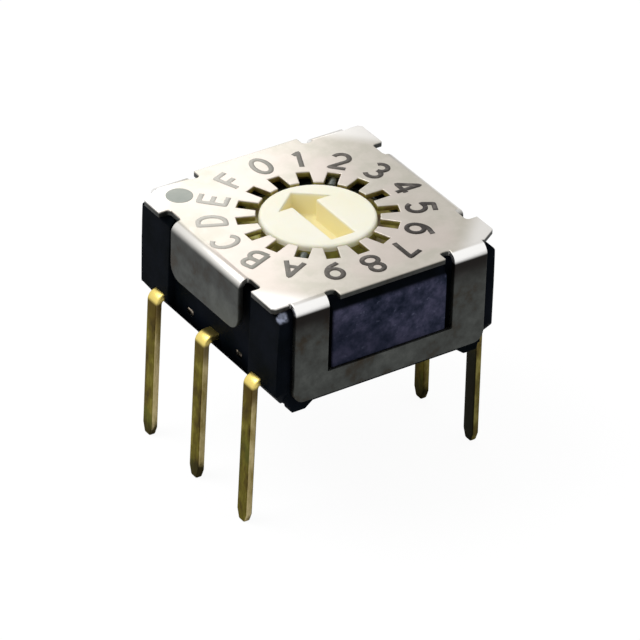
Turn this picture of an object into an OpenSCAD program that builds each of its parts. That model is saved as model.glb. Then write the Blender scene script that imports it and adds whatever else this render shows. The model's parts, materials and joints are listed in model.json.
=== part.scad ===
// Rotary DIP switch, sixteen positions, six leads: stamped cover, moulded housing, rotor and contacts.
// Units are millimetres. Z is up, the lead tips stand on z = 0, X runs across the lead rows, Y along them.
// Position 0 is at +Y and the numbers run clockwise seen from above.

/* [Leads] */
// Distance between neighbouring leads of one row
lead_pitch = 2.54; // [2.5:0.01:2.58]
// Distance from the housing's side edge to the middle of a leg at its root
lead_stand_off = 0.16; // [0.15:0.01:0.2]
// Length of the leads below the seating plane
lead_length = 3.95; // [2.5:0.05:6]
// Width of a lead along the row
lead_width = 0.49; // [0.4:0.01:0.55]
// Thickness of the lead strip
lead_t = 0.21; // [0.15:0.01:0.22]
// Inner radius of a lead's bend
lead_bend_r = 0.12; // [0.08:0.01:0.15]
// Outward lean of the legs of the -X row
lean_left_deg = 1.6; // [0:0.1:3]
// Outward lean of the legs of the +X row
lean_right_deg = 0.5; // [0:0.1:3]
// Height of the chamfers that narrow a lead's tip
lead_tip = 0.3; // [0.1:0.05:0.4]
// Width of each of those chamfers
lead_tip_cut = 0.11; // [0.05:0.01:0.15]
// Height of the lead strip's underside above the seating plane
strip_height = 0.65; // [0.63:0.01:0.7]
// Width of a tie bar's stump between two leads
tie_width = 0.32; // [0.2:0.02:0.4]

/* [Housing] */
// Width of the housing at its top, both ways
body_width = 7.22; // [7.1:0.02:7.4]
// Height of the cover's top face above the seating plane
body_height = 3.6; // [3.5:0.05:4]
// Distance that each side face leans out from its top to its lower edge
side_draft = 0.06; // [0.02:0.01:0.08]
// Height of the four standing feet
foot_height = 0.2; // [0.1:0.05:0.25]
// Distance from the lower edge of a lead side to a foot
foot_inset = 0.14; // [0.1:0.01:0.2]
// Length of a foot's flat underside
foot_length = 0.44; // [0.3:0.02:0.6]
// Run of the slope at a foot's inner end
foot_slope_in = 0.25; // [0.1:0.05:0.5]
// Run of the slope at a foot's outer end
foot_slope_out = 0.05; // [0.02:0.01:0.2]
// Depth of a foot from the housing's window side
foot_depth = 0.4; // [0.3:0.05:1]
// Rounding of the housing's vertical edges
corner_r = 0.2; // [0.1:0.05:0.3]
// Bevel on the housing's top edges
top_bevel = 0.2; // [0.15:0.01:0.24]
// Height of the housing's side edge above the seating plane
side_edge = 0.7; // [0.65:0.01:0.75]
// Width of the slope under each lead side
slope_run = 0.35; // [0.3:0.05:0.6]
// Height above the seating plane where the corner posts start to slope in from the window sides
post_edge = 0.82; // [0.75:0.01:0.9]
// Width of that slope at the base
post_run = 0.39; // [0.3:0.01:0.42]
// Depth of the recess behind each side tab
tab_recess = 0.18; // [0.13:0.01:0.2]
// Gap beside a side tab in its recess
tab_gap = 0.34; // [0.25:0.01:0.4]
// Thickness of the wall between that recess and the rotor's pocket
pocket_wall = 0.53; // [0.5:0.01:0.6]
// Height of the pocket's floor above the seating plane
floor_height = 1.1; // [1.05:0.05:1.15]
// Radius of the pivot post in the middle of the floor
post_r = 0.45; // [0.35:0.01:0.48]
// Extra depth of the window seats around the snap bosses
boss_inset = 0.15; // [0.1:0.01:0.16]
// Gap between a snap boss and the sides of its window
boss_gap = 0.2; // [0.1:0.01:0.3]
// Distance that a boss stands out of its wall
boss_proud = 0.27; // [0.2:0.01:0.3]
// Distance from the cover's underside to the start of the boss's slope
boss_start = 0.12; // [0.05:0.01:0.2]
// Distance from the cover's top face to the end of that slope
boss_drop = 0.66; // [0.5:0.02:0.9]

/* [Cover] */
// Thickness of the cover's sheet
sheet_t = 0.18; // [0.14:0.01:0.2]
// Distance that the bent sides stand out from the housing's sides
cover_proud = 0.19; // [0.16:0.01:0.2]
// Outer radius of the bends
bend_r = 0.32; // [0.28:0.01:0.34]
// Distance that the cuts beside the bends reach behind the bend line
relief_depth = 0.03; // [0.01:0.01:0.1]
// Rounding of those cuts' inner corners
relief_r = 0.12; // [0.06:0.01:0.14]
// Slit between a leg's bend and the plate's corner
leg_slit = 0.07; // [0.04:0.01:0.1]
// Length of the side tabs below the top face
tab_drop = 1.74; // [1.5:0.02:1.9]
// Half width of the side tabs
tab_half = 1.76; // [1.5:0.02:1.8]
// Rounding of the side tabs' lower corners
tab_corner_r = 0.46; // [0.2:0.02:0.6]
// Width of the notches in the plate beside the side tabs
tab_notch = 0.64; // [0.4:0.02:0.7]
// Height of the window sides' lower edge above the seating plane
flap_height = 0.41; // [0.35:0.01:0.45]
// Distance from the ends of the window sides to the housing's corners
flap_inset = 0.41; // [0.38:0.01:0.5]
// Rounding of the window sides' lower corners
flap_corner_r = 0.35; // [0.1:0.05:0.5]
// Width of the legs beside each window
leg_width = 1.1; // [1:0.02:1.16]
// Width of the strip under each window
sill_width = 0.74; // [0.6:0.02:0.8]
// Width of the cuts between a window's lip and its legs
lip_relief = 0.34; // [0.3:0.02:0.4]
// Distance that the plate's corners stand back from the window sides
corner_step = 0.28; // [0.2:0.01:0.3]
// Cut across the plate's two full corners
full_corner_cut = 0.1; // [0.05:0.05:0.2]
// Cut across the plate's two clipped corners, along the window side
clipped_corner_x = 0.55; // [0.3:0.05:0.55]
// Cut across those corners, along the lead side
clipped_corner_y = 0.34; // [0.2:0.01:0.4]
// Width of a detent slot
slot_width = 0.4; // [0.3:0.02:0.42]
// Distance from the slots' outer ends to the wall of the rotor's pocket
slot_edge = 0.56; // [0.5:0.02:0.6]
// Width of the ring round the rotor's head that holds the slots and the spring
ring_width = 1.13; // [1.05:0.01:1.2]

/* [Rotor] */
// Clearance between the rotor's head and the cover
head_gap = 0.08; // [0.05:0.01:0.1]
// Bevel on the head's rim
head_bevel = 0.06; // [0.02:0.01:0.1]
// Clearance between the rotor's flange and the pocket
flange_gap = 0.07; // [0.05:0.01:0.1]
// Gap between the flange and the cover, where the spring works
spring_space = 0.37; // [0.34:0.01:0.42]
// Depth of the driver recess
recess_depth = 0.7; // [0.5:0.05:0.8]
// Width of the straight driver slot
recess_width = 0.8; // [0.6:0.05:0.9]
// Distance from the slot's tail to the head's rim
tail_rim = 0.4; // [0.3:0.02:0.6]
// Distance from the arrow's point to the head's rim
point_rim = 0.3; // [0.25:0.01:0.5]
// Length of the arrow's point
point_length = 0.68; // [0.5:0.02:0.8]
// Half width of the arrow at its barbs
barb_half = 0.82; // [0.6:0.02:0.9]
// Thickness left between the recess and the pivot bore
recess_floor = 0.3; // [0.25:0.01:0.4]
// Thickness of the hub round the pivot bore
hub_wall = 0.72; // [0.6:0.02:0.8]
// Thickness of the flange's outer wall
rim_wall = 0.53; // [0.4:0.01:0.6]
// Thickness of the flange above the hollow underneath
flange_web = 0.4; // [0.3:0.02:0.5]

/* [Springs and contacts] */
// Thickness of the detent spring
spring_t = 0.08; // [0.06:0.01:0.1]
// Distance from the spring's outer edge to the flange's edge
spring_rim = 0.11; // [0.08:0.01:0.2]
// Distance from the spring's inner edge to the slots' outer ends
spring_inset = 0.02; // [0.01:0.01:0.04]
// Width of the arms that carry the detent bumps
arm_width = 0.19; // [0.16:0.01:0.2]
// Half length of an arm's raised middle
arm_flat = 0.24; // [0.2:0.01:0.3]
// Radius of a detent bump
bump_r = 0.16; // [0.12:0.01:0.18]
// Distance that a detent bump reaches into its slot
bump_reach = 0.08; // [0.04:0.01:0.12]
// Distance from a bump's ends to the ends of its slot
bump_gap = 0.1; // [0.06:0.01:0.15]
// Position number that stands over the first detent bump
bump_position = 2; // [0:1:7]
// Thickness of the contact disc's backing
disc_t = 0.06; // [0.05:0.01:0.08]
// Height of the raised code pads on the contact disc
pad_t = 0.05; // [0.04:0.01:0.06]
// Distance from the contact disc's edge to the flange's edge
disc_rim = 0.18; // [0.15:0.01:0.25]
// Gap between neighbouring tracks of the contact disc
track_gap = 0.04; // [0.02:0.01:0.08]
// Radius of the middle of the common track
common_r = 0.85; // [0.82:0.01:0.9]
// Width of a contact finger
finger_width = 0.3; // [0.2:0.02:0.32]
// Thickness of a contact finger
finger_t = 0.1; // [0.08:0.01:0.12]
// Distance of the code fingers' contacts from the middle line of the housing
finger_tip = 0.92; // [0.88:0.02:0.98]
// Distance of the finger roots from the middle line of the housing
finger_root = 1.75; // [1.65:0.05:1.8]
// Radius of the rounded contact at a finger's tip
contact_r = 0.1; // [0.06:0.01:0.12]

/* [Fits] */
// Gap between the cover's bent sides and the housing
cover_gap = 0.02; // [0.01:0.01:0.03]
// Gap at each end of a window side in its seat
seat_gap = 0.05; // [0.02:0.01:0.1]
// Radial running clearance of the rotor on its post
post_gap = 0.03; // [0.02:0.01:0.06]
// Gap between the post's end and the end of its bore
post_end_gap = 0.05; // [0.03:0.01:0.08]
// Rest gap between a contact finger and the contact disc
contact_gap = 0.01; // [0.005:0.005:0.02]
// Height of the contact disc above the pocket's floor
disc_height = 0.4; // [0.35:0.05:0.45]
// Gap round the fingers in the floor's openings
finger_gap = 0.12; // [0.08:0.01:0.14]

/* [Hidden] */
$fn = 48;
e = 0.01;
cut = 1;
positions = 16;
step_deg = 360 / positions;
seat_z = lead_length;
top_z = seat_z + body_height;
under_z = top_z - sheet_t;
base_z = seat_z + foot_height;
side_z = seat_z + side_edge;
post_z = seat_z + post_edge;
floor_z = seat_z + floor_height;
strip_z = seat_z + strip_height;
half = body_width / 2;
side_half = half + side_draft;
base_half = side_half - slope_run;
outer = half + cover_proud;
inner = outer - sheet_t;
flat_end = outer - bend_r;
wall_y = inner - cover_gap;
boss_wall = wall_y - boss_inset;
tab_wall = half - tab_recess;
recess_half = tab_half + tab_gap;
flap_z = seat_z + flap_height;
window_z = flap_z + sill_width;
tab_z = top_z - tab_drop;
flap_half = half - flap_inset;
window_half = flap_half - leg_width;
lip_half = window_half - lip_relief;
boss_half = window_half - boss_gap;
corner_y = outer - corner_step;
pocket_r = tab_wall - pocket_wall;
opening_r = pocket_r - ring_width;
slot_r = pocket_r - slot_edge;
head_r = opening_r - head_gap;
flange_r = pocket_r - flange_gap;
flange_top = under_z - spring_space;
disc_z = floor_z + disc_height;
flange_z = disc_z + pad_t + disc_t;
recess_z = top_z - recess_depth;
bore_end = recess_z - recess_floor;
post_end = bore_end - post_end_gap;
arrow_tip = head_r - point_rim;
barb_y = arrow_tip - point_length;
recess_tail = head_r - tail_rim;
spring_ri = slot_r + spring_inset;
spring_ro = flange_r - spring_rim;
lead_x = side_half + lead_stand_off;
disc_r = flange_r - disc_rim;
// the common track and four code tracks fill the disc out to its edge
track_width = (disc_r - common_r) / 4.5;
half_pad = (track_width - track_gap) / 2;
first_track = common_r + track_width;
finger_half = finger_width / 2;
tie_half = tie_width / 2;

// A rectangle from the middle, with its four corners rounded.
module rounded_plate(x, y, r) {
    square([2 * x, 2 * (y - r)], center = true);
    square([2 * (x - r), 2 * y], center = true);
    for (sx = [-1, 1], sy = [-1, 1])
        translate([sx * (x - r), sy * (y - r)])
            circle(r);
}

// A cut from the bend line outwards, from one place along the edge to another, with rounded inner corners.
module relief(from, to, r) {
    width = to - from;
    translate([flat_end - relief_depth + cut, from + width / 2])
        rounded_plate(cut, width / 2, r);
}

// The flat outline of the cover's top before its sides are bent.
module plate_outline() {
    f = full_corner_cut;
    cx = clipped_corner_x;
    cy = clipped_corner_y;
    difference() {
        union() {
            polygon([[-outer + f, -corner_y], [outer - cx, -corner_y], [outer, -corner_y + cy],
                [outer, corner_y - f], [outer - f, corner_y], [-outer + cx, corner_y],
                [-outer, corner_y - cy], [-outer, -corner_y + f]]);
            square([2 * lip_half, 2 * outer], center = true);
        }
        for (a = [0, 180])
            rotate([0, 0, a]) {
                // the side tab bends down here, with a notch at each end
                translate([flat_end, -tab_half - relief_r])
                    square([cut, 2 * (tab_half + relief_r)]);
                for (s = [0, 1])
                    mirror([0, s])
                        relief(tab_half, tab_half + tab_notch, relief_r);
                // the legs of the window side bend down here, with a cut beside the lip
                rotate([0, 0, 90])
                    for (s = [0, 1])
                        mirror([0, s]) {
                            translate([flat_end, lip_half + relief_r])
                                square([cut, flap_half + leg_slit - lip_half - relief_r]);
                            relief(lip_half, window_half, relief_r);
                        }
            }
    }
}

// A quarter bend that starts flat along +X and turns down, centred on its own axis along Y.
module bend(width) {
    translate([0, width / 2, 0])
        rotate([90, 0, 0])
            linear_extrude(width)
                intersection() {
                    difference() {
                        circle(bend_r);
                        circle(bend_r - sheet_t);
                    }
                    square(bend_r + e);
                }
}

// One side tab, on +X.
module side_tab() {
    drop = top_z - bend_r - tab_z;
    translate([flat_end, 0, top_z - bend_r])
        bend(2 * tab_half);
    translate([inner, 0, tab_z])
        rotate([90, 0, 90])
            linear_extrude(sheet_t) {
                translate([-tab_half, tab_corner_r])
                    square([2 * tab_half, drop - tab_corner_r]);
                translate([-tab_half + tab_corner_r, 0])
                    square([2 * (tab_half - tab_corner_r), drop]);
                for (s = [-1, 1])
                    translate([s * (tab_half - tab_corner_r), tab_corner_r])
                        circle(tab_corner_r);
            }
}

// One window side, on +Y: two legs from the plate and the strip that joins them under the boss.
module window_side() {
    drop = top_z - bend_r - flap_z;
    for (s = [-1, 1])
        translate([s * (window_half + leg_width / 2), flat_end, top_z - bend_r])
            rotate([0, 0, 90])
                bend(leg_width);
    translate([0, outer, flap_z])
        rotate([90, 0, 0])
            linear_extrude(sheet_t)
                difference() {
                    union() {
                        translate([-flap_half, flap_corner_r])
                            square([2 * flap_half, drop - flap_corner_r]);
                        translate([-flap_half + flap_corner_r, 0])
                            square([2 * (flap_half - flap_corner_r), drop]);
                        for (s = [-1, 1])
                            translate([s * (flap_half - flap_corner_r), flap_corner_r])
                                circle(flap_corner_r);
                    }
                    translate([-window_half, sill_width])
                        square([2 * window_half, drop]);
                }
}

module cover() {
    color([0.78, 0.76, 0.72])
        union() {
            difference() {
                translate([0, 0, under_z])
                    linear_extrude(sheet_t)
                        plate_outline();
                translate([0, 0, under_z - e])
                    cylinder(r = opening_r, h = sheet_t + 2 * e);
                for (i = [0:positions - 1])
                    rotate([0, 0, 90 - i * step_deg])
                        translate([head_r, -slot_width / 2, under_z - e])
                            cube([slot_r - head_r, slot_width, sheet_t + 2 * e]);
            }
            for (a = [0, 180])
                rotate([0, 0, a]) {
                    side_tab();
                    window_side();
                }
        }
}

// A prism along Y: its sides lean in from the side edge to the bevel on top, and run down to the base's edge.
module side_prism(base_edge) {
    translate([0, side_half + e, 0])
        rotate([90, 0, 0])
            linear_extrude(2 * (side_half + e))
                polygon([[base_edge, base_z], [side_half, side_z], [half, under_z - top_bevel],
                    [half - top_bevel, under_z], [top_bevel - half, under_z], [-half, under_z - top_bevel],
                    [-side_half, side_z], [-base_edge, base_z]]);
}

// The plastic block before its recesses: sloped under the leads, straight under the windows.
module block() {
    intersection() {
        translate([0, 0, base_z])
            linear_extrude(under_z - base_z)
                rounded_plate(side_half, side_half, corner_r);
        side_prism(base_half);
        rotate([0, 0, 90])
            side_prism(side_half);
    }
}

// One standing foot with sloped ends, in the +X +Y corner.
module foot() {
    root = base_half - foot_inset;
    toe = root - foot_slope_out;
    heel = toe - foot_length;
    translate([0, wall_y, seat_z])
        rotate([90, 0, 0])
            linear_extrude(foot_depth)
                polygon([[toe, 0], [root, foot_height], [root, foot_height + e],
                    [heel - foot_slope_in, foot_height + e], [heel - foot_slope_in, foot_height], [heel, 0]]);
}

// What the slope takes off the foot of the corner post on +X +Y.
module post_slope() {
    low = side_half - post_run;
    translate([flap_half + seat_gap, 0, 0])
        rotate([90, 0, 90])
            linear_extrude(cut)
                polygon([[low, base_z], [low, base_z - cut], [side_half + cut, base_z - cut],
                    [side_half + cut, post_z], [side_half, post_z]]);
}

// The snap boss on +Y, sloped so that the cover's strip rides over it and catches below.
module boss() {
    face = boss_wall + boss_proud;
    root = boss_wall - boss_proud;
    foot_z = window_z + cover_gap;
    rotate([90, 0, 90])
        translate([0, 0, -boss_half])
            linear_extrude(2 * boss_half)
                polygon([[root, under_z - boss_start], [boss_wall, under_z - boss_start],
                    [face, top_z - boss_drop], [face, foot_z], [root, foot_z]]);
}

// Radius of the track of one code bit, and where its finger stands on it: distance in X, and angle.
function track_r(bit) = first_track + (3 - bit) * track_width;
function finger_x(bit) = sqrt(pow(track_r(bit), 2) - pow(finger_tip, 2));
function finger_angle(bit) = asin(finger_tip / track_r(bit));

// The seat of one window side on +Y, deeper round the boss.
module window_seat() {
    side = flap_half + seat_gap;
    translate([-side, wall_y, base_z - cut])
        cube([2 * side, cut, body_height + cut]);
    translate([-window_half - cover_gap, boss_wall, window_z - boss_inset])
        cube([2 * (window_half + cover_gap), cut, body_height]);
}

// A box-shaped opening in the floor round a finger that runs from its root to its tip.
module finger_opening(x, tip, root) {
    translate([x - finger_half - finger_gap, tip - contact_r - finger_gap, strip_z])
        cube([finger_width + 2 * finger_gap, root - tip + contact_r + finger_gap, floor_z - strip_z + e]);
}

module housing() {
    color([0.09, 0.09, 0.12])
        difference() {
            union() {
                difference() {
                    block();
                    for (a = [0, 180])
                        rotate([0, 0, a]) {
                            // recess behind the side tab
                            translate([tab_wall, -recess_half, base_z - cut])
                                cube([cut, 2 * recess_half, body_height + cut]);
                            window_seat();
                            post_slope();
                            mirror([1, 0, 0])
                                post_slope();
                        }
                    // the rotor's pocket
                    translate([0, 0, floor_z])
                        cylinder(r = pocket_r, h = body_height);
                }
                for (a = [0, 180])
                    rotate([0, 0, a]) {
                        boss();
                        foot();
                        mirror([1, 0, 0])
                            foot();
                    }
                // pivot post, rooted in the floor
                translate([0, 0, floor_z - finger_t])
                    cylinder(r = post_r, h = post_end - floor_z + finger_t);
            }
            // openings for the contact fingers
            for (bit = [0:3])
                mirror([bit % 2 == 0 ? 1 : 0, 0, 0])
                    mirror([0, bit < 2 ? 0 : 1, 0])
                        finger_opening(finger_x(bit), finger_tip, finger_root);
            rotate([0, 0, -90])
                finger_opening(0, common_r, finger_root);
            // the strips lie in the moulding
            terminal_solids();
        }
}

module rotor() {
    color([0.95, 0.92, 0.78])
        difference() {
            union() {
                translate([0, 0, flange_z])
                    cylinder(r = flange_r, h = flange_top - flange_z);
                translate([0, 0, flange_z])
                    cylinder(r = head_r, h = top_z - head_bevel - flange_z);
                translate([0, 0, top_z - head_bevel])
                    cylinder(r1 = head_r, r2 = head_r - head_bevel, h = head_bevel);
            }
            // driver recess, an arrow that points at the chosen position
            translate([0, 0, recess_z])
                linear_extrude(recess_depth + e)
                    polygon([[-recess_width / 2, -recess_tail], [recess_width / 2, -recess_tail],
                        [recess_width / 2, barb_y], [barb_half, barb_y], [0, arrow_tip],
                        [-barb_half, barb_y], [-recess_width / 2, barb_y]]);
            // blind bore over the post
            translate([0, 0, flange_z - e])
                cylinder(r = post_r + post_gap, h = bore_end - flange_z + e);
            // hollow underneath, for even walls
            translate([0, 0, flange_z - e])
                difference() {
                    cylinder(r = flange_r - rim_wall, h = flange_top - flange_web - flange_z + e);
                    cylinder(r = post_r + post_gap + hub_wall, h = body_height);
                }
        }
}

// One arm of the detent spring over +X: a strip outside the slots, and a tongue with its bump under the slot.
module spring_arm() {
    top = spring_space - cover_gap - spring_t;
    tongue = opening_r + bump_gap;
    end = sqrt(pow(spring_ro - e, 2) - pow(spring_ri + arm_width, 2));
    start = end - arm_flat;
    translate([0, 0, flange_top])
        rotate([90, 0, 90]) {
            translate([0, 0, spring_ri])
                linear_extrude(arm_width)
                    polygon([[-end, 0], [-start, 0], [-arm_flat, top], [arm_flat, top], [start, 0], [end, 0],
                        [end, spring_t], [start, spring_t], [arm_flat, top + spring_t],
                        [-arm_flat, top + spring_t], [-start, spring_t], [-end, spring_t]]);
            translate([-bump_r, top, tongue])
                cube([2 * bump_r, spring_t, spring_ri + arm_width / 2 - tongue]);
            difference() {
                translate([0, spring_space + bump_reach - bump_r, tongue])
                    cylinder(r = bump_r, h = slot_r - bump_gap - tongue);
                translate([-cut, top - cut, 0])
                    cube([2 * cut, cut, slot_r]);
            }
        }
}

module detent_spring() {
    color([0.5, 0.5, 0.5]) {
        translate([0, 0, flange_top])
            difference() {
                cylinder(r = spring_ro, h = spring_t);
                translate([0, 0, -e])
                    cylinder(r = spring_ri, h = spring_t + 2 * e);
            }
        for (k = [0, positions / 2])
            rotate([0, 0, 90 - (bump_position + k) * step_deg])
                spring_arm();
    }
}

// The raised pads of one code track, turned so that its own finger reads it.
module code_track(bit) {
    run = pow(2, bit);
    turn = bit % 2 == 0 ? 180 - finger_angle(bit) : finger_angle(bit);
    side = bit < 2 ? turn : -turn;
    for (k = [0:2 * run:positions - 1])
        rotate([0, 0, side + (k + run - 0.5) * step_deg])
            rotate_extrude(angle = run * step_deg)
                translate([track_r(bit) - half_pad, 0])
                    square([2 * half_pad, pad_t + e]);
}

module contact_disc() {
    color([0.8, 0.65, 0.3]) {
        difference() {
            translate([0, 0, disc_z + pad_t])
                cylinder(r = disc_r, h = disc_t);
            translate([0, 0, disc_z])
                cylinder(r = common_r - track_width / 2, h = disc_t + pad_t + e);
        }
        translate([0, 0, disc_z])
            difference() {
                cylinder(r = common_r + half_pad, h = pad_t + e);
                translate([0, 0, -e])
                    cylinder(r = common_r - half_pad, h = pad_t + 3 * e);
            }
        translate([0, 0, disc_z])
            for (bit = [0:3])
                code_track(bit);
    }
}

// A lead on +X: a stub out of the side, a bend, and a leg that leans out a little.
module lead(stub_x, lean) {
    r = lead_t + lead_bend_r;
    root = lead_x - lead_t / 2 - lead_bend_r;
    bend_z = strip_z - lead_bend_r;
    // the inner edge of the tip comes to z = 0
    long = (bend_z + lead_bend_r * sin(lean)) / cos(lean);
    translate([stub_x, -lead_width / 2, strip_z])
        cube([root - stub_x + e, lead_width, lead_t]);
    translate([root, 0, bend_z]) {
        translate([0, lead_width / 2, 0])
            rotate([90, 0, 0])
                linear_extrude(lead_width)
                    difference() {
                        intersection() {
                            circle(r);
                            polygon([[0, 0], [0, 1], [1, 1], [1, tan(lean)]]);
                        }
                        circle(lead_bend_r);
                    }
        rotate([0, -lean, 0])
            translate([lead_bend_r, 0, -long])
                leg(long);
    }
}

// A straight leg of the given length with a narrowed tip at its foot.
module leg(long) {
    w = lead_width / 2;
    n = w - lead_tip_cut;
    rotate([90, 0, 90])
        linear_extrude(lead_t)
            polygon([[-n, 0], [n, 0], [w, lead_tip], [w, long], [-w, long], [-w, lead_tip]]);
}

// A contact finger along -Y from its root, with a rounded contact at the tip.
module finger(root, tip) {
    top = disc_z - contact_gap;
    strip_top = strip_z + lead_t;
    translate([-finger_half, 0, 0])
        rotate([90, 0, 90])
            linear_extrude(finger_width) {
                polygon([[root + finger_width, strip_top - finger_t], [root, strip_top - finger_t],
                    [tip, top - contact_r - finger_t / 2], [tip, top - contact_r + finger_t / 2],
                    [root, strip_top], [root + finger_width, strip_top]]);
                translate([tip, top - contact_r])
                    circle(contact_r);
            }
}

// A code terminal as it stands in the +X +Y quarter.
module code_terminal(bit, lean) {
    x = finger_x(bit);
    y = lead_pitch;
    back = tab_wall - tie_width;
    translate([0, y, 0])
        lead(x - finger_half, lean);
    // arm to the finger's root
    translate([x - finger_half, finger_root, strip_z])
        cube([finger_width, y - finger_root, lead_t]);
    translate([x, 0, 0])
        finger(finger_root, finger_tip);
    // stump of the tie bar, cut off flush with the housing
    translate([back, y / 2 - tie_half, strip_z])
        cube([tie_half, y / 2 + tie_half, lead_t]);
    translate([back, y / 2 - tie_half, strip_z])
        cube([tie_width, tie_width, lead_t]);
}

module terminal_common_solid() {
    lead(0, lean_right_deg);
    mirror([1, 0, 0])
        lead(0, lean_left_deg);
    rotate([0, 0, -90])
        finger(finger_root, common_r);
}

module terminal_1_solid() {
    mirror([1, 0, 0])
        code_terminal(0, lean_left_deg);
}

module terminal_2_solid() {
    code_terminal(1, lean_right_deg);
}

module terminal_4_solid() {
    mirror([0, 1, 0])
        mirror([1, 0, 0])
            code_terminal(2, lean_left_deg);
}

module terminal_8_solid() {
    mirror([0, 1, 0])
        code_terminal(3, lean_right_deg);
}

module terminal_solids() {
    terminal_common_solid();
    terminal_1_solid();
    terminal_2_solid();
    terminal_4_solid();
    terminal_8_solid();
}

module terminal_common() {
    color([0.75, 0.62, 0.25])
        terminal_common_solid();
}

module terminal_1() {
    color([0.75, 0.62, 0.25])
        terminal_1_solid();
}

module terminal_2() {
    color([0.75, 0.62, 0.25])
        terminal_2_solid();
}

module terminal_4() {
    color([0.75, 0.62, 0.25])
        terminal_4_solid();
}

module terminal_8() {
    color([0.75, 0.62, 0.25])
        terminal_8_solid();
}

cover();
housing();
rotor();
detent_spring();
contact_disc();
terminal_common();
terminal_1();
terminal_2();
terminal_4();
terminal_8();
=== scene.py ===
import json
import math

import bmesh
import bpy
from mathutils import Matrix, Vector


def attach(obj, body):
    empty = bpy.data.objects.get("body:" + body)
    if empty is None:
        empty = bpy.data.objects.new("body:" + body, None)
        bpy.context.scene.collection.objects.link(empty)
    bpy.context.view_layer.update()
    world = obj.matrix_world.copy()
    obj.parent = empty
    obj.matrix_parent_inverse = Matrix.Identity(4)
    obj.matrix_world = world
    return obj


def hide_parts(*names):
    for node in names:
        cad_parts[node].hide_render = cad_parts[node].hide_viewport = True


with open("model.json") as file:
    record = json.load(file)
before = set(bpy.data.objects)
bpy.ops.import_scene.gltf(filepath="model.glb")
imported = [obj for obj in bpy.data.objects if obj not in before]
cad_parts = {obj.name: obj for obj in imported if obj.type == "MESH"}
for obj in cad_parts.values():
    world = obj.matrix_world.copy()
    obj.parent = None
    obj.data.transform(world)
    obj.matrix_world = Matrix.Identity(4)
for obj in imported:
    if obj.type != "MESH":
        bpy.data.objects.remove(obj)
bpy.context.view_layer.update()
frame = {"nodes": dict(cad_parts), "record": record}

# sizes in millimetres from the part's source, some of them rounded
MM = 0.001
PLATE_TOP = 7.55
SHEET = 0.18
FOLD = 3.48
LEG_INNER, LEG_OUTER = 2.1, 3.2
TAB_HALF = 1.76
SLOT_REACH = 2.6
SEAT = 3.95
LEAD_BEND = SEAT + 0.65
POCKET_RADIUS = 3.1
HEAD_RADIUS = 1.68
BOSS_LOW, BOSS_HIGH, BOSS_HALF, BOSS_FACE = 5.1, 6.9, 1.92, 3.68


def show(name, data):
    """Puts a mesh, curve, lamp or camera into the scene."""
    thing = bpy.data.objects.new(name, data)
    bpy.context.scene.collection.objects.link(thing)
    return thing


# the camera

def place_camera():
    """A camera at the photograph's angle. Distances are in millimetres, focal and offsets in pixels."""
    azimuth, elevation, roll = math.radians(-34.296), math.radians(32.965), math.radians(1.716)
    distance, below_plate, sensor = 136.854, 3.366, 36.0
    frame_width, focal, off_x, off_y = 640.0, 4779.8, -4.933, -5.681
    level = math.cos(elevation)
    back = Vector((math.sin(azimuth) * level, -math.cos(azimuth) * level, math.sin(elevation)))
    side = Vector((math.cos(azimuth), math.sin(azimuth), 0.0))
    up = back.cross(side)
    right = side * math.cos(roll) + up * math.sin(roll)
    top = -side * math.sin(roll) + up * math.cos(roll)
    target = Vector((0.0, 0.0, PLATE_TOP - below_plate))
    data = bpy.data.cameras.new("camera")
    data.sensor_width = sensor
    data.lens = focal * sensor / frame_width
    data.shift_x = -off_x / frame_width
    data.shift_y = off_y / frame_width
    data.clip_start = 0.01
    data.clip_end = 10.0
    camera = show("camera", data)
    turn = Matrix((right, top, back)).transposed()
    camera.matrix_world = Matrix.Translation((target + back * distance) * MM) @ turn.to_4x4()
    bpy.context.scene.camera = camera


# small steps that the materials are made of

def new_material(name):
    """A new material, with its node tree and its shader."""
    material = bpy.data.materials.new(name)
    material.use_nodes = True
    return material, material.node_tree, material.node_tree.nodes["Principled BSDF"]


def feed(tree, socket, value):
    """Links a socket to another, or writes a number or a colour into it."""
    if isinstance(value, bpy.types.NodeSocket):
        tree.links.new(value, socket)
    elif socket.type == "RGBA":
        socket.default_value = (*value, 1.0)
    else:
        socket.default_value = value


def set_shader(tree, shader, **values):
    """Feeds the shader's inputs, whose names are given with underscores for spaces."""
    for name, value in values.items():
        feed(tree, shader.inputs[name.replace("_", " ")], value)


def reckon(tree, operation, *values):
    """One calculation with numbers or sockets."""
    node = tree.nodes.new("ShaderNodeMath")
    node.operation = operation
    for socket, value in zip(node.inputs, values):
        feed(tree, socket, value)
    return node.outputs[0]


def along(tree, axis):
    """How far a point lies along one axis of the object, in millimetres."""
    coords = tree.nodes.new("ShaderNodeTexCoord")
    split = tree.nodes.new("ShaderNodeSeparateXYZ")
    tree.links.new(coords.outputs["Object"], split.inputs["Vector"])
    return reckon(tree, "MULTIPLY", split.outputs[axis], 1.0 / MM)


def beside(tree, axis):
    """The distance from the middle along one axis, the same on both sides."""
    return reckon(tree, "ABSOLUTE", along(tree, axis))


def from_middle(tree):
    """The distance from the rotor's axis, in millimetres."""
    x, y = along(tree, "X"), along(tree, "Y")
    square = reckon(tree, "ADD", reckon(tree, "MULTIPLY", x, x), reckon(tree, "MULTIPLY", y, y))
    return reckon(tree, "SQRT", square)


def facing(tree, axis):
    """How much a face looks along one axis, from -1 to 1."""
    geometry = tree.nodes.new("ShaderNodeNewGeometry")
    split = tree.nodes.new("ShaderNodeSeparateXYZ")
    tree.links.new(geometry.outputs["Normal"], split.inputs["Vector"])
    return split.outputs[axis]


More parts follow.
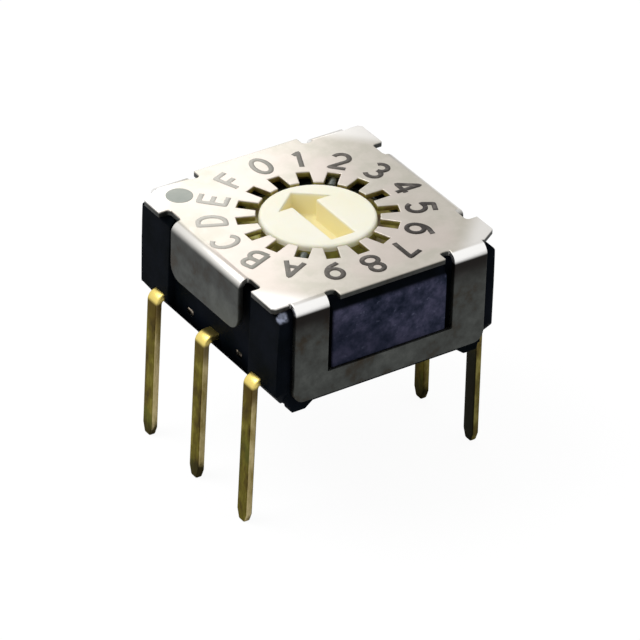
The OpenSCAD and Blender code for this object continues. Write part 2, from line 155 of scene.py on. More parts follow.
def rise(tree, value, start, end):
    """0 up to start and 1 from end on, smooth between them. Start may be the higher one."""
    node = tree.nodes.new("ShaderNodeMapRange")
    node.interpolation_type = "SMOOTHSTEP"
    feed(tree, node.inputs["Value"], value)
    node.inputs["From Min"].default_value = min(start, end)
    node.inputs["From Max"].default_value = max(start, end)
    node.inputs["To Min"].default_value = 0.0 if start < end else 1.0
    node.inputs["To Max"].default_value = 1.0 if start < end else 0.0
    return node.outputs["Result"]


def all_of(tree, *shares):
    """The product of some shares, which is 1 only where each of them is."""
    result = shares[0]
    for share in shares[1:]:
        result = reckon(tree, "MULTIPLY", result, share)
    return result


def within(tree, value, low, high, soft):
    """1 from low to high, fading to 0 over the soft width outside them."""
    return all_of(tree, rise(tree, value, low - soft, low), rise(tree, value, high + soft, high))


def between(tree, share, low, high):
    """Stretches a share of 0 to 1 over other limits."""
    node = tree.nodes.new("ShaderNodeMapRange")
    feed(tree, node.inputs["Value"], share)
    node.inputs["To Min"].default_value = low
    node.inputs["To Max"].default_value = high
    return node.outputs["Result"]


def paint_over(tree, share, under, over):
    """Covers the first colour with the second as far as share says, from 0 to 1."""
    node = tree.nodes.new("ShaderNodeMix")
    node.data_type = "RGBA"
    factor, first, second = node.inputs[0], node.inputs[6], node.inputs[7]
    feed(tree, factor, share)
    feed(tree, first, under)
    feed(tree, second, over)
    return node.outputs[2]


def cloud(tree, size, detail=3.0, rough=0.55, stretch=(1.0, 1.0, 1.0)):
    """Noise whose patches are about size millimetres across."""
    coords = tree.nodes.new("ShaderNodeTexCoord")
    mapping = tree.nodes.new("ShaderNodeMapping")
    mapping.inputs["Scale"].default_value = stretch
    noise = tree.nodes.new("ShaderNodeTexNoise")
    noise.inputs["Scale"].default_value = 1.0 / (size * MM)
    noise.inputs["Detail"].default_value = detail
    noise.inputs["Roughness"].default_value = rough
    tree.links.new(coords.outputs["Object"], mapping.inputs["Vector"])
    tree.links.new(mapping.outputs["Vector"], noise.inputs["Vector"])
    return noise.outputs["Fac"]


def tones(tree, share, *stops):
    """A colour ramp with stops (place, colour)."""
    node = tree.nodes.new("ShaderNodeValToRGB")
    ramp = node.color_ramp
    ramp.elements.remove(ramp.elements[1])
    for number, (place, colour) in enumerate(stops):
        element = ramp.elements[0] if number == 0 else ramp.elements.new(place)
        element.position = place
        element.color = (*colour, 1.0)
    feed(tree, node.inputs["Fac"], share)
    return node.outputs["Color"]


def surface_grain(tree, shader, height, strength, depth, edge):
    """A fine bump of the given depth, and edges softened by a radius, both in millimetres."""
    bump = tree.nodes.new("ShaderNodeBump")
    bump.inputs["Strength"].default_value = strength
    bump.inputs["Distance"].default_value = depth * MM
    corner = tree.nodes.new("ShaderNodeBevel")
    corner.samples = 6
    corner.inputs["Radius"].default_value = edge * MM
    tree.links.new(height, bump.inputs["Height"])
    tree.links.new(corner.outputs["Normal"], bump.inputs["Normal"])
    tree.links.new(bump.outputs["Normal"], shader.inputs["Normal"])


# finishes

def pale_nickel(tree, x, y, patches):
    """The plate's top face: two close shades, a warmer cloud over them and a painted highlight at its
    corners.
    """
    grey, light = (0.46, 0.435, 0.375), (0.51, 0.475, 0.42)
    warm, corner_highlight = (0.56, 0.49, 0.45), (0.70, 0.68, 0.65)
    pale = paint_over(tree, rise(tree, patches, 0.35, 0.65), grey, light)
    wide = cloud(tree, 2.2, detail=2.0, rough=0.5)
    warm_cloud = reckon(tree, "MULTIPLY", rise(tree, wide, 0.45, 0.62), 0.6)
    pale = paint_over(tree, warm_cloud, pale, warm)
    # painted highlight: the plate lighter towards all four corners, for light that they catch
    corner_highlight_share = rise(tree, reckon(tree, "ADD", x, y), 5.7, 6.6)
    return paint_over(tree, corner_highlight_share, pale, corner_highlight)


def shaded_stained_nickel(tree, x, depth, at_leg, patches):
    """The bent sides: stains under a painted shade that darkens them, a painted shadow under each fold,
    painted lighter shading on the tab's lower part, and painted reflected light on the slot walls.
    """
    shadow, less_shaded = (0.011, 0.008, 0.007), (0.12, 0.125, 0.105)
    stains = cloud(tree, 0.7, detail=4.0, rough=0.65)
    # painted shade: the bent sides given a dark base colour for the shade they lie in, mottled by stains
    shaded_stains = tones(tree, stains, (0.32, (0.044, 0.037, 0.028)), (0.45, (0.058, 0.061, 0.057)),
                 (0.58, (0.076, 0.081, 0.076)), (0.72, (0.105, 0.110, 0.103)))
    # painted shadow under each fold
    fold_shade = all_of(tree, rise(tree, depth, 1.3, 0.45), between(tree, at_leg, 0.3, 0.92))
    shaded_stains = paint_over(tree, fold_shade, shaded_stains, shadow)
    # painted lighter shading on the tab's lower part, towards its near end
    on_tab = rise(tree, x, FOLD + 0.2, FOLD + 0.3)
    lower_tab = all_of(tree, on_tab, rise(tree, along(tree, "Y"), 0.4, -1.5), rise(tree, depth, 0.8, 1.9))
    shaded_stains = paint_over(tree, reckon(tree, "MULTIPLY", lower_tab, 0.7), shaded_stains, less_shaded)
    # painted reflected light: the slot walls tinted olive-yellow as if lit by the cream rotor below
    near_slots = rise(tree, from_middle(tree), SLOT_REACH + 0.1, SLOT_REACH)
    slot_wall = all_of(tree, near_slots, rise(tree, depth, 0.004, 0.03))
    cream_bounce = tones(tree, patches, (0.4, (0.34, 0.26, 0.10)), (0.6, (0.50, 0.46, 0.15)))
    return paint_over(tree, slot_wall, shaded_stains, cream_bounce)


def plated_sheet():
    """Nickel-plated sheet, pale and satin on the plate, with a painted highlight on the folds and painted
    shade with stains on cut edges and bent sides.
    """
    tab_fold_highlight, leg_fold_highlight = (0.74, 0.72, 0.68), (0.93, 0.92, 0.90)
    material, tree, shader = new_material("plated_sheet")
    depth = reckon(tree, "SUBTRACT", PLATE_TOP, along(tree, "Z"))
    x, y = beside(tree, "X"), beside(tree, "Y")
    window_side = rise(tree, y, FOLD - 0.01, FOLD + 0.01)
    lead_side = rise(tree, x, FOLD - 0.01, FOLD + 0.01)
    at_leg = all_of(tree, window_side, within(tree, x, LEG_INNER, LEG_OUTER, 0.04))
    at_tab = all_of(tree, lead_side, rise(tree, y, TAB_HALF + 0.09, TAB_HALF + 0.02))
    on_plate = all_of(tree, reckon(tree, "SUBTRACT", 1.0, at_leg), reckon(tree, "SUBTRACT", 1.0, at_tab))
    # cut edges and the sides past the folds get the painted shade of the bent sides
    cut_edge = all_of(tree, on_plate, rise(tree, depth, 0.004, 0.06))
    past_tab_fold = all_of(tree, at_tab, rise(tree, depth, 0.08, 0.3))
    past_leg_fold = all_of(tree, at_leg, rise(tree, depth, 0.22, 0.33))
    shaded_sides = reckon(tree, "ADD", cut_edge, reckon(tree, "ADD", past_tab_fold, past_leg_fold))
    patches = cloud(tree, 0.45, detail=3.0, rough=0.6)
    pale = pale_nickel(tree, x, y, patches)
    # painted highlight along each fold, brightest on the legs of the window sides
    fold_highlight = all_of(tree, reckon(tree, "MAXIMUM", at_leg, at_tab), rise(tree, depth, 0.01, 0.04))
    pale = paint_over(tree, fold_highlight, pale, paint_over(tree, at_leg, tab_fold_highlight, leg_fold_highlight))
    colour = paint_over(tree, shaded_sides, pale, shaded_stained_nickel(tree, x, depth, at_leg, patches))
    set_shader(tree, shader, Metallic=1.0, Base_Color=colour, Roughness=between(tree, shaded_sides, 0.31, 0.46))
    fine = cloud(tree, 0.11, detail=2.0, rough=0.5)
    surface_grain(tree, shader, fine, strength=0.15, depth=0.004, edge=0.03)
    return material


def boss_sheen(tree, z, fine):
    """The snap bosses: a painted blue-grey sheen in patches, pale specks of their mottled face, and painted
    shade at their lower left.
    """
    speck, shade_blue = (0.17, 0.18, 0.27), (0.010, 0.012, 0.024)
    # painted sheen: the boss face lighter and bluer than the body, for the light it reflects
    patches = cloud(tree, 0.5, detail=4.0, rough=0.68)
    boss_sheen_tone = tones(tree, patches, (0.32, (0.010, 0.014, 0.028)), (0.48, (0.030, 0.034, 0.062)),
                   (0.66, (0.072, 0.070, 0.122)))
    specks = reckon(tree, "MULTIPLY", rise(tree, fine, 0.62, 0.76), 0.35)
    boss_sheen_tone = paint_over(tree, specks, boss_sheen_tone, speck)
    # painted shade: darker towards the lower left
    slanting_height = reckon(tree, "MULTIPLY_ADD", along(tree, "X"), 0.5, z)
    lower_left_shade = reckon(tree, "MULTIPLY", rise(tree, slanting_height, 6.3, 5.2), 0.5)
    return paint_over(tree, lower_left_shade, boss_sheen_tone, shade_blue)


def dark_moulding():
    """Black moulding with a blue cast, a painted sheen on its bosses, a painted glint at the near corner
    and painted reflected light on the pocket wall.
    """
    corner_glint = (0.40, 0.44, 0.58)
    material, tree, shader = new_material("dark_moulding")
    x, y, z = beside(tree, "X"), beside(tree, "Y"), along(tree, "Z")
    fine = cloud(tree, 0.16, detail=3.0, rough=0.6)
    wide = cloud(tree, 1.2, detail=4.0, rough=0.6)
    body = tones(tree, wide, (0.35, (0.0015, 0.0025, 0.0032)), (0.65, (0.004, 0.0055, 0.009)))
    # painted glint on the top edge of the near corner post, under the plate
    near_post = all_of(tree, rise(tree, along(tree, "Y"), -3.36, -3.46),
                       rise(tree, along(tree, "X"), -3.3, -3.42))
    under_plate = all_of(tree, rise(tree, z, 7.02, 7.16), rise(tree, z, 7.34, 7.28))
    near_corner_glint = all_of(tree, near_post, under_plate, rise(tree, fine, 0.2, 0.65))
    body = paint_over(tree, near_corner_glint, body, corner_glint)
    boss_front = all_of(tree, rise(tree, y, BOSS_FACE - 0.06, BOSS_FACE),
                        rise(tree, x, BOSS_HALF + 0.08, BOSS_HALF))
    on_boss = all_of(tree, boss_front, within(tree, z, BOSS_LOW, BOSS_HIGH, 0.1))
    colour = paint_over(tree, on_boss, body, boss_sheen(tree, z, fine))
    # painted reflected light: the round pocket wall tinted olive-yellow as if lit by the cream rotor
    round_wall = rise(tree, from_middle(tree), POCKET_RADIUS + 0.1, POCKET_RADIUS)
    in_pocket = all_of(tree, round_wall, rise(tree, z, 5.6, 5.8))
    rotor_bounce = tones(tree, fine, (0.35, (0.34, 0.27, 0.10)), (0.65, (0.58, 0.50, 0.17)))
    colour = paint_over(tree, in_pocket, colour, rotor_bounce)
    roughness = between(tree, fine, 0.38, 0.55)
    set_shader(tree, shader, Base_Color=colour, Specular_IOR_Level=0.008, Roughness=roughness)
    surface_grain(tree, shader, fine, strength=0.3, depth=0.01, edge=0.04)
    return material


def cream_plastic():
    """Cream moulded rotor: pale head, painted warm shade in the recess and painted olive shade on the
    flange under the slots.
    """
    recess_shade_cream, scatter_mm = (0.95, 0.86, 0.50), 0.3
    material, tree, shader = new_material("cream_plastic")
    z, radius = along(tree, "Z"), from_middle(tree)
    head = tones(tree, cloud(tree, 1.6, detail=3.0), (0.3, (0.94, 0.90, 0.70)), (0.7, (0.96, 0.93, 0.80)))
    # painted shade: the recess tinted a deeper, warmer yellow for its shade and the light bounced in it
    below_top = rise(tree, z, PLATE_TOP - 0.01, PLATE_TOP - 0.12)
    in_recess = all_of(tree, below_top, rise(tree, radius, HEAD_RADIUS - 0.04, HEAD_RADIUS - 0.08))
    colour = paint_over(tree, in_recess, head, recess_shade_cream)
    # painted shade: the flange under the cover darkened to olive in patches
    under_cover = rise(tree, z, PLATE_TOP - SHEET, PLATE_TOP - SHEET - 0.03)
    on_flange = all_of(tree, under_cover, rise(tree, radius, HEAD_RADIUS - 0.08, HEAD_RADIUS))
    patches = cloud(tree, 0.6, detail=3.0, rough=0.6)
    flange_shade = tones(tree, patches, (0.35, (0.20, 0.13, 0.06)), (0.5, (0.36, 0.31, 0.09)),
                (0.65, (0.52, 0.50, 0.12)))
    colour = paint_over(tree, on_flange, colour, flange_shade)
    set_shader(tree, shader, Base_Color=colour, Roughness=0.35, Subsurface_Weight=0.2,
               Subsurface_Radius=(1.0, 0.75, 0.35), Subsurface_Scale=scatter_mm * MM)
    surface_grain(tree, shader, cloud(tree, 0.2, detail=2.0), strength=0.15, depth=0.004, edge=0.03)
    return material


def spring_steel():
    """Bare spring strip, given a dark colour as painted shade for its place under the cover."""
    material, tree, shader = new_material("spring_steel")
    drawn = cloud(tree, 0.3, detail=3.0, rough=0.6, stretch=(1.0, 4.0, 1.0))
    # painted shade: dark steel tones for the shade under the cover
    colour = tones(tree, drawn, (0.3, (0.05, 0.06, 0.055)), (0.7, (0.13, 0.14, 0.13)))
    set_shader(tree, shader, Metallic=1.0, Base_Color=colour, Roughness=between(tree, drawn, 0.3, 0.45))
    surface_grain(tree, shader, cloud(tree, 0.1, detail=2.0), strength=0.15, depth=0.003, edge=0.02)
    return material


def gold_plate():
    """Gold-plated contact disc, clean where it is sealed in."""
    material, tree, shader = new_material("gold_plate")
    patches = cloud(tree, 0.8, detail=3.0, rough=0.6)
    colour = tones(tree, patches, (0.3, (0.60, 0.45, 0.18)), (0.7, (0.75, 0.58, 0.25)))
    set_shader(tree, shader, Metallic=1.0, Base_Color=colour, Roughness=between(tree, patches, 0.2, 0.3))
    surface_grain(tree, shader, cloud(tree, 0.1, detail=2.0), strength=0.15, depth=0.003, edge=0.02)
    return material


def stained_shaded_leg(tree, z, stain, inner_shade):
    """A lead's leg: olive and brown stains under a painted shade, greener low down, a painted highlight on
    its sides along Y, a painted shadow under the bend, dark at the tip, and painted shade on its inner
    faces.
    """
    green, bend_shade_brown = (0.062, 0.078, 0.012), (0.055, 0.030, 0.006)
    cut_dark, inner_shade_black = (0.012, 0.010, 0.005), (0.010, 0.009, 0.004)
    # painted shade: the leg's gold given dark olive and brown tones for the shade it stands in, varied by
    # stains
    leg = tones(tree, stain, (0.36, (0.034, 0.020, 0.006)), (0.45, (0.080, 0.058, 0.010)),
                (0.54, (0.125, 0.106, 0.014)), (0.64, (0.22, 0.19, 0.04)))
    green_cloud = rise(tree, cloud(tree, 0.9, detail=3.0, rough=0.6, stretch=(1.0, 1.0, 0.5)), 0.48, 0.6)
    leg = paint_over(tree, all_of(tree, green_cloud, rise(tree, z, 3.2, 2.2), 0.7), leg, green)
    # painted highlight: the faces turned along Y painted paler as lit sides, mostly on the near row
    near_row = between(tree, rise(tree, along(tree, "X"), 1.0, 0.0), 0.15, 1.0)
    lit_side = all_of(tree, rise(tree, reckon(tree, "ABSOLUTE", facing(tree, "Y")), 0.6, 0.8), near_row)
    lit_side_gold = tones(tree, stain, (0.35, (0.27, 0.21, 0.07)), (0.65, (0.60, 0.50, 0.27)))
    leg = paint_over(tree, lit_side, leg, lit_side_gold)
    # painted shadow just under the bend
    under_bend_shade = all_of(tree, rise(tree, z, LEAD_BEND - 0.9, LEAD_BEND - 0.3), 0.8)
    leg = paint_over(tree, under_bend_shade, leg, bend_shade_brown)
    uneven_height = reckon(tree, "MULTIPLY_ADD", stain, 1.2, z)
    not_nearest = rise(tree, along(tree, "Y"), -2.0, -1.0)
    tip = all_of(tree, rise(tree, uneven_height, 1.25, 0.85), not_nearest, 0.93)
    leg = paint_over(tree, tip, leg, cut_dark)
    # painted shade on the inner faces, nearly black
    return paint_over(tree, inner_shade, leg, inner_shade_black)


def lead_gold():
    """Gold-plated lead: plain bright gold on the bend, stains and painted shade down the leg, speckled on
    the cut tie bars.
    """
    bright_gold, warm_edge = (0.86, 0.68, 0.20), (1.0, 0.92, 0.65)
    material, tree, shader = new_material("lead_gold")
    z = along(tree, "Z")
    stain = cloud(tree, 0.5, detail=4.0, rough=0.7, stretch=(1.0, 1.0, 0.45))
    # painted shade: the inner faces of the nearest lead in each row darkened and made less metallic, as
    # shaded by the body
    looks_inward = rise(tree, reckon(tree, "MULTIPLY", facing(tree, "X"), along(tree, "X")), -1.2, -2.4)
    inner_shade = all_of(tree, looks_inward, rise(tree, along(tree, "Y"), -1.0, -2.0), rise(tree, z, 4.1, 2.9))
    bend = rise(tree, z, LEAD_BEND - 0.12, LEAD_BEND + 0.02)
    colour = paint_over(tree, bend, stained_shaded_leg(tree, z, stain, inner_shade), bright_gold)
    cut_tie_bar = within(tree, beside(tree, "Y"), 1.0, 1.55, 0.1)
    fine = cloud(tree, 0.18, detail=2.0, rough=0.6)
    specks = tones(tree, fine, (0.48, (0.02, 0.018, 0.014)), (0.6, (0.42, 0.36, 0.30)))
    colour = paint_over(tree, cut_tie_bar, colour, specks)
    set_shader(tree, shader, Metallic=between(tree, inner_shade, 1.0, 0.1), Base_Color=colour,
               Specular_Tint=warm_edge, Specular_IOR_Level=0.05, Roughness=between(tree, stain, 0.26, 0.42))
    surface_grain(tree, shader, cloud(tree, 0.2, detail=3.0), strength=0.25, depth=0.006, edge=0.05)
    return material


def dial_ink():
    """Brown-grey printing ink, with a painted glare that pales it towards the corner with the index mark,
    and paler worn patches.
    """
    worn_through = (0.5, 0.45, 0.4)
    material, tree, shader = new_material("dial_ink")
    # painted highlight: the ink lightened towards the index mark's corner for the plate's glare there
    sideways = reckon(tree, "MULTIPLY", along(tree, "X"), 1.35)
    towards_mark = reckon(tree, "SUBTRACT", along(tree, "Y"), sideways)
    glare_share = reckon(tree, "MULTIPLY_ADD", towards_mark, 0.1, 0.5)
    ink = tones(tree, glare_share, (0.0, (0.026, 0.021, 0.018)), (0.24, (0.056, 0.048, 0.041)),
                (0.5, (0.110, 0.098, 0.084)), (0.63, (0.20, 0.19, 0.165)), (0.76, (0.33, 0.32, 0.28)),
                (0.9, (0.58, 0.56, 0.50)), (1.0, (0.64, 0.62, 0.56)))
    lighter = paint_over(tree, 0.25, ink, worn_through)
    colour = paint_over(tree, rise(tree, cloud(tree, 0.3, detail=4.0, rough=0.7), 0.45, 0.75), ink, lighter)
    set_shader(tree, shader, Base_Color=colour, Roughness=0.5, Specular_IOR_Level=0.2)
    return material


def index_paint():
    """Pale grey-green paint of the index dot, a little uneven."""
    material, tree, shader = new_material("index_paint")
    patches = cloud(tree, 0.5, detail=3.0, rough=0.6)
    colour = tones(tree, patches, (0.3, (0.31, 0.34, 0.30)), (0.7, (0.40, 0.42, 0.37)))
    set_shader(tree, shader, Base_Color=colour, Roughness=0.45)
    return material


# pieces that stand in for the solids

def body_of(node):
    """The body that a node belongs to, from the record."""
    bodies = frame["record"]["behaviour"]["bodies"]
    return next(body for body, nodes in bodies.items() if node in nodes)


def round_edges(form, edge):
    """Joins the solid's loose triangles into whole faces and bevels its sharp edges."""
    sharp_from, flat_within, same_point = math.radians(35.0), math.radians(0.5), 0.0002 * MM
    bmesh.ops.remove_doubles(form, verts=form.verts, dist=same_point)
    bmesh.ops.dissolve_limit(form, angle_limit=flat_within, verts=form.verts, edges=form.edges)
    sharp = [line for line in form.edges if line.calc_face_angle() > sharp_from]
    bmesh.ops.bevel(form, geom=sharp, offset=edge * MM, segments=2, profile=0.5, affect="EDGES",
                    clamp_overlap=False)
    bmesh.ops.recalc_face_normals(form, faces=form.faces)
    for face in form.faces:
        face.smooth = True


def as_plain_mesh(thing):
    """The mesh with its modifiers applied. The object that carried them goes."""
    mesh = bpy.data.meshes.new_from_object(thing.evaluated_get(bpy.context.evaluated_depsgraph_get()))
    bpy.data.objects.remove(thing)
    return mesh


def rounded_piece(node, name, edge, material):
    """The solid with its sharp edges rounded to a radius in millimetres. It stands in for the node."""
    form = bmesh.new()
    form.from_mesh(frame["nodes"][node].data)
    round_edges(form, edge)
    mesh = bpy.data.meshes.new(name)
    form.to_mesh(mesh)
    form.free()
    mesh.set_sharp_from_angle(angle=math.radians(50.0))
    mesh.materials.append(material)
    shaped = show(name + "_shaped", mesh)
    shaped.modifiers.new("even_shading", "WEIGHTED_NORMAL").keep_sharp = True
    piece = show(name, as_plain_mesh(shaped))
    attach(piece, body_of(node))
    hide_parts(node)


# the printed dial

def arc(cx, cy, rx, ry, start, end, steps=14):
    """Points along part of an ellipse, from one angle to another in degrees."""
    angles = [math.radians(start + (end - start) * i / steps) for i in range(steps + 1)]
    return [(cx + rx * math.cos(angle), cy + ry * math.sin(angle)) for angle in angles]


# each sign's strokes, on a field 2 wide and 3 high from its lower left corner
SIGNS = {
    "0": [arc(1.0, 1.5, 0.92, 1.5, 90, 450, 28)],
    "1": [[(0.45, 2.45), (1.05, 3.0), (1.05, 0.0)]],
    "2": [arc(1.0, 2.1, 0.9, 0.9, 165, -35, 14) + [(0.1, 0.0), (1.95, 0.0)]],
    "3": [arc(0.95, 2.27, 0.8, 0.73, 150, -90, 14), arc(0.95, 0.78, 0.9, 0.78, 90, -150, 16)],
    "4": [[(1.45, 0.0), (1.45, 3.0), (0.05, 0.9), (2.0, 0.9)]],
    "5": [[(1.75, 3.0), (0.4, 3.0), (0.22, 1.65)] + arc(0.95, 1.0, 0.92, 1.0, 125, -145, 18)],
    "6": [[(1.55, 3.0)] + arc(1.75, 1.05, 1.62, 1.75, 115, 175, 8), arc(1.0, 0.95, 0.88, 0.95, 0, 360, 24)],
    "7": [[(0.1, 3.0), (1.85, 3.0), (0.7, 0.0)]],
    "8": [arc(1.0, 2.27, 0.74, 0.73, 0, 360, 22), arc(1.0, 0.77, 0.9, 0.77, 0, 360, 24)],
    "9": [[(0.45, 0.0)] + arc(0.25, 1.95, 1.62, 1.75, -65, -5, 8), arc(1.0, 2.05, 0.88, 0.95, 0, 360, 24)],
    "A": [[(0.0, 0.0), (1.0, 3.0), (2.0, 0.0)], [(0.35, 1.0), (1.65, 1.0)]],
    "B": [[(0.15, 0.0), (0.15, 3.0), (1.0, 3.0)] + arc(1.0, 2.28, 0.7, 0.72, 90, -90, 12) + [(0.15, 1.56)],
          [(1.0, 1.56)] + arc(1.05, 0.78, 0.85, 0.78, 90, -90, 12) + [(0.15, 0.0)]],
    "C": [arc(1.1, 1.5, 1.02, 1.5, 45, 315, 24)],
    "D": [[(0.15, 0.0), (0.15, 3.0), (0.8, 3.0)] + arc(0.8, 1.5, 1.1, 1.5, 90, -90, 18) + [(0.15, 0.0)]],
    "E": [[(1.8, 3.0), (0.15, 3.0), (0.15, 0.0), (1.8, 0.0)], [(0.15, 1.55), (1.6, 1.55)]],
    "F": [[(1.8, 3.0), (0.15, 3.0), (0.15, 0.0)], [(0.15, 1.5), (1.5, 1.5)]],
}

# points of a stroke that are nearer than this are one point
SAME_POINT = 0.001


def full_to_corners(stroke):
    """Adds a point on either side of each corner, so that the line keeps its width right up to it."""
    margin = 0.07
    points = [stroke[0]]
    for start, end in zip(stroke, stroke[1:]):
        length = math.dist(start, end)
        if length > 4.0 * margin:
            places = (margin / length, 1.0 - margin / length)
            points += [tuple(a + (b - a) * share for a, b in zip(start, end)) for share in places]
        if length > SAME_POINT:
            points.append(end)
    return points


def stroke_tree(ink):
    """Geometry Nodes: every stroke becomes a flat printed line, all joined into one closed mesh."""
    tree = bpy.data.node_groups.new("printed_lines", "GeometryNodeTree")
    face = tree.interface
    face.new_socket("Strokes", in_out="INPUT", socket_type="NodeSocketGeometry")
    face.new_socket("Line width", in_out="INPUT", socket_type="NodeSocketFloat")
    face.new_socket("Ink thickness", in_out="INPUT", socket_type="NodeSocketFloat")
    face.new_socket("Lines", in_out="OUTPUT", socket_type="NodeSocketGeometry")
    nodes, links = tree.nodes, tree.links
    enter, leave = nodes.new("NodeGroupInput"), nodes.new("NodeGroupOutput")
    flat = nodes.new("GeometryNodeSetCurveNormal")
    flat.mode = "Z_UP"
    section = nodes.new("GeometryNodeCurvePrimitiveQuadrilateral")
    sweep = nodes.new("GeometryNodeCurveToMesh")
    sweep.inputs["Fill Caps"].default_value = True
    join = nodes.new("GeometryNodeMeshBoolean")
    join.operation = "UNION"
    join.solver = "EXACT"
    join.inputs["Self Intersection"].default_value = True
    real = nodes.new("GeometryNodeRealizeInstances")
    paint = nodes.new("GeometryNodeSetMaterial")
    paint.inputs["Material"].default_value = ink
    links.new(enter.outputs["Strokes"], flat.inputs["Curve"])
    links.new(flat.outputs["Curve"], sweep.inputs["Curve"])
    links.new(enter.outputs["Line width"], section.inputs["Width"])
    links.new(enter.outputs["Ink thickness"], section.inputs["Height"])
    links.new(section.outputs["Curve"], sweep.inputs["Profile Curve"])
    links.new(sweep.outputs["Mesh"], join.inputs["Mesh 2"])
    links.new(join.outputs["Mesh"], real.inputs["Geometry"])
    links.new(real.outputs["Geometry"], paint.inputs["Geometry"])
    links.new(paint.outputs["Geometry"], leave.inputs["Lines"])
    return tree


def dial_strokes():
    """The strokes of the sixteen signs round the rotor, feet towards the middle, clockwise from +Y."""
    radius, tall, wide, lift = 3.0, 0.78, 0.52, 0.002
    print_turn, print_shift = 1.4, Vector((-0.03, 0.03, 0.0))
    boldest_place, usual_weight, weight_swing = 6, 0.95, 0.2
    step = 360.0 / len(SIGNS)
    curve = bpy.data.curves.new("dial_strokes", "CURVE")
    curve.dimensions = "3D"
    for place, sign in enumerate("0123456789ABCDEF"):
        turn = Matrix.Rotation(math.radians(-step * place - print_turn), 4, "Z")
        weight = usual_weight + weight_swing * math.cos(math.radians(step * (place - boldest_place)))
        for stroke in SIGNS[sign]:
            closed = math.dist(stroke[0], stroke[-1]) < SAME_POINT
            stroke = full_to_corners(stroke)[:-1] if closed else full_to_corners(stroke)
            spline = curve.splines.new("POLY")
            spline.use_cyclic_u = closed
            spline.points.add(len(stroke) - 1)
            for point, (x, y) in zip(spline.points, stroke):
                across, outward = (x / 2.0 - 0.5) * wide, radius + (y / 3.0 - 0.5) * tall
                printed = turn @ Vector((across, outward, PLATE_TOP + lift)) + print_shift
                point.co = (*(printed * MM), 1.0)
                point.radius = weight
    return curve


def print_dial(ink):
    """The numbers and letters, as thin lines of ink on the plate."""
    line_width, ink_thickness = 0.15, 0.008
    strokes = show("dial_strokes", dial_strokes())
    modifier = strokes.modifiers.new("printed_lines", "NODES")
    modifier.node_group = stroke_tree(ink)
    inputs = [item for item in modifier.node_group.interface.items_tree if item.in_out == "INPUT"]
    keys = {item.name: item.identifier for item in inputs}
    modifier[keys["Line width"]] = line_width * MM
    modifier[keys["Ink thickness"]] = ink_thickness * MM
    signs = show("dial_signs", as_plain_mesh(strokes))
    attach(signs, "case")


def index_dot(paint):
    """The round index mark in the plate's corner beside E."""
    middle = Vector((-2.82, 2.88, PLATE_TOP + 0.004))
    foot_radius, top_radius, thick = 0.4, 0.38, 0.012
    mesh = bpy.data.meshes.new("index_dot")
    form = bmesh.new()
    bmesh.ops.create_cone(form, cap_ends=True, segments=48, radius1=foot_radius * MM,
                          radius2=top_radius * MM, depth=thick * MM, matrix=Matrix.Translation(middle * MM))
    form.to_mesh(mesh)
    form.free()
    mesh.materials.append(paint)
    dot = show("index_dot", mesh)
    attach(dot, "case")


# floor, world and lamps

def set_world():
    """Soft grey-white fill on the object, and plain white for what the camera, gloss and glass see."""
    fill_strength, seen_strength = 0.55, 1.0
    world = bpy.data.worlds.new("studio")
    bpy.context.scene.world = world
    world.use_nodes = True
    tree = world.node_tree
    fill = tree.nodes["Background"]
    fill.inputs["Color"].default_value = (1.0, 1.0, 1.0, 1.0)
    fill.inputs["Strength"].default_value = fill_strength
    seen = tree.nodes.new("ShaderNodeBackground")
    seen.inputs["Color"].default_value = (1.0, 1.0, 1.0, 1.0)
    seen.inputs["Strength"].default_value = seen_strength
    path = tree.nodes.new("ShaderNodeLightPath").outputs
    camera_or_gloss = reckon(tree, "MAXIMUM", path["Is Camera Ray"], path["Is Glossy Ray"])
    mix = tree.nodes.new("ShaderNodeMixShader")
    tree.links.new(reckon(tree, "MAXIMUM", camera_or_gloss, path["Is Transmission Ray"]), mix.inputs["Fac"])
    tree.links.new(fill.outputs["Background"], mix.inputs[1])
    tree.links.new(seen.outputs["Background"], mix.inputs[2])
    tree.links.new(mix.outputs["Shader"], tree.nodes["World Output"].inputs["Surface"])


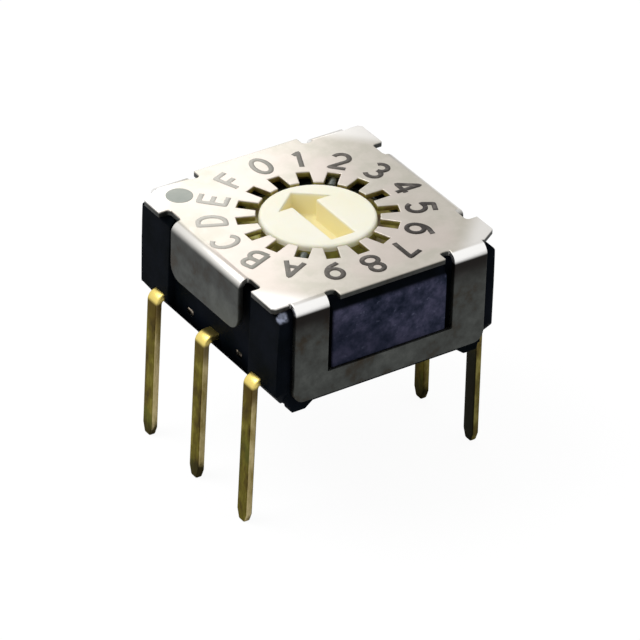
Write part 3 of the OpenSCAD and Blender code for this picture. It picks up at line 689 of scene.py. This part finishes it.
def lay_floor():
    """A pale floor that shows nearly white, with a faint shadow of the switch."""
    half_width, white_share, white_strength = 1.5, 0.9, 1.04
    mesh = bpy.data.meshes.new("floor")
    form = bmesh.new()
    bmesh.ops.create_grid(form, x_segments=1, y_segments=1, size=half_width)
    form.to_mesh(mesh)
    form.free()
    material, tree, shader = new_material("pale_floor")
    set_shader(tree, shader, Roughness=0.9, Base_Color=(0.9, 0.9, 0.9))
    glow = tree.nodes.new("ShaderNodeEmission")
    glow.inputs["Strength"].default_value = white_strength
    path = tree.nodes.new("ShaderNodeLightPath").outputs
    mix = tree.nodes.new("ShaderNodeMixShader")
    tree.links.new(reckon(tree, "MULTIPLY", path["Is Camera Ray"], white_share), mix.inputs["Fac"])
    tree.links.new(shader.outputs["BSDF"], mix.inputs[1])
    tree.links.new(glow.outputs["Emission"], mix.inputs[2])
    tree.links.new(mix.outputs["Shader"], tree.nodes["Material Output"].inputs["Surface"])
    mesh.materials.append(material)
    floor = show("floor", mesh)


def add_softbox(name, at, aim, size, power):
    """A square white lamp of the given width. Places and width are in millimetres, power in watts."""
    data = bpy.data.lights.new(name, "AREA")
    data.shape = "SQUARE"
    data.size = size * MM
    data.energy = power
    lamp = show(name, data)
    direction = (Vector(aim) - Vector(at)).normalized()
    turn = direction.to_track_quat("-Z", "Y").to_matrix().to_4x4()
    lamp.matrix_world = Matrix.Translation(Vector(at) * MM) @ turn
    lamp.visible_camera = False


place_camera()
set_world()
lay_floor()
add_softbox("key_softbox", at=(-60.0, 40.0, 120.0), aim=(0.0, 0.0, 6.0), size=70.0, power=0.08)
add_softbox("plate_softbox", at=(6.6, 20.7, 21.1), aim=(-5.2, 3.4, 7.5), size=12.0, power=0.0007)

rounded_piece("cover", "bent_cover", edge=0.015, material=plated_sheet())
rounded_piece("housing", "moulded_housing", edge=0.03, material=dark_moulding())
rounded_piece("rotor", "arrow_rotor", edge=0.04, material=cream_plastic())
rounded_piece("detent_spring", "spring_strip", edge=0.01, material=spring_steel())
rounded_piece("contact_disc", "code_disc", edge=0.008, material=gold_plate())
lead_finish = lead_gold()
for place in ("common", "1", "2", "4", "8"):
    rounded_piece("terminal_" + place, "lead_" + place, edge=0.04, material=lead_finish)
print_dial(dial_ink())
index_dot(index_paint())

bpy.context.scene.view_settings.view_transform = "Standard"
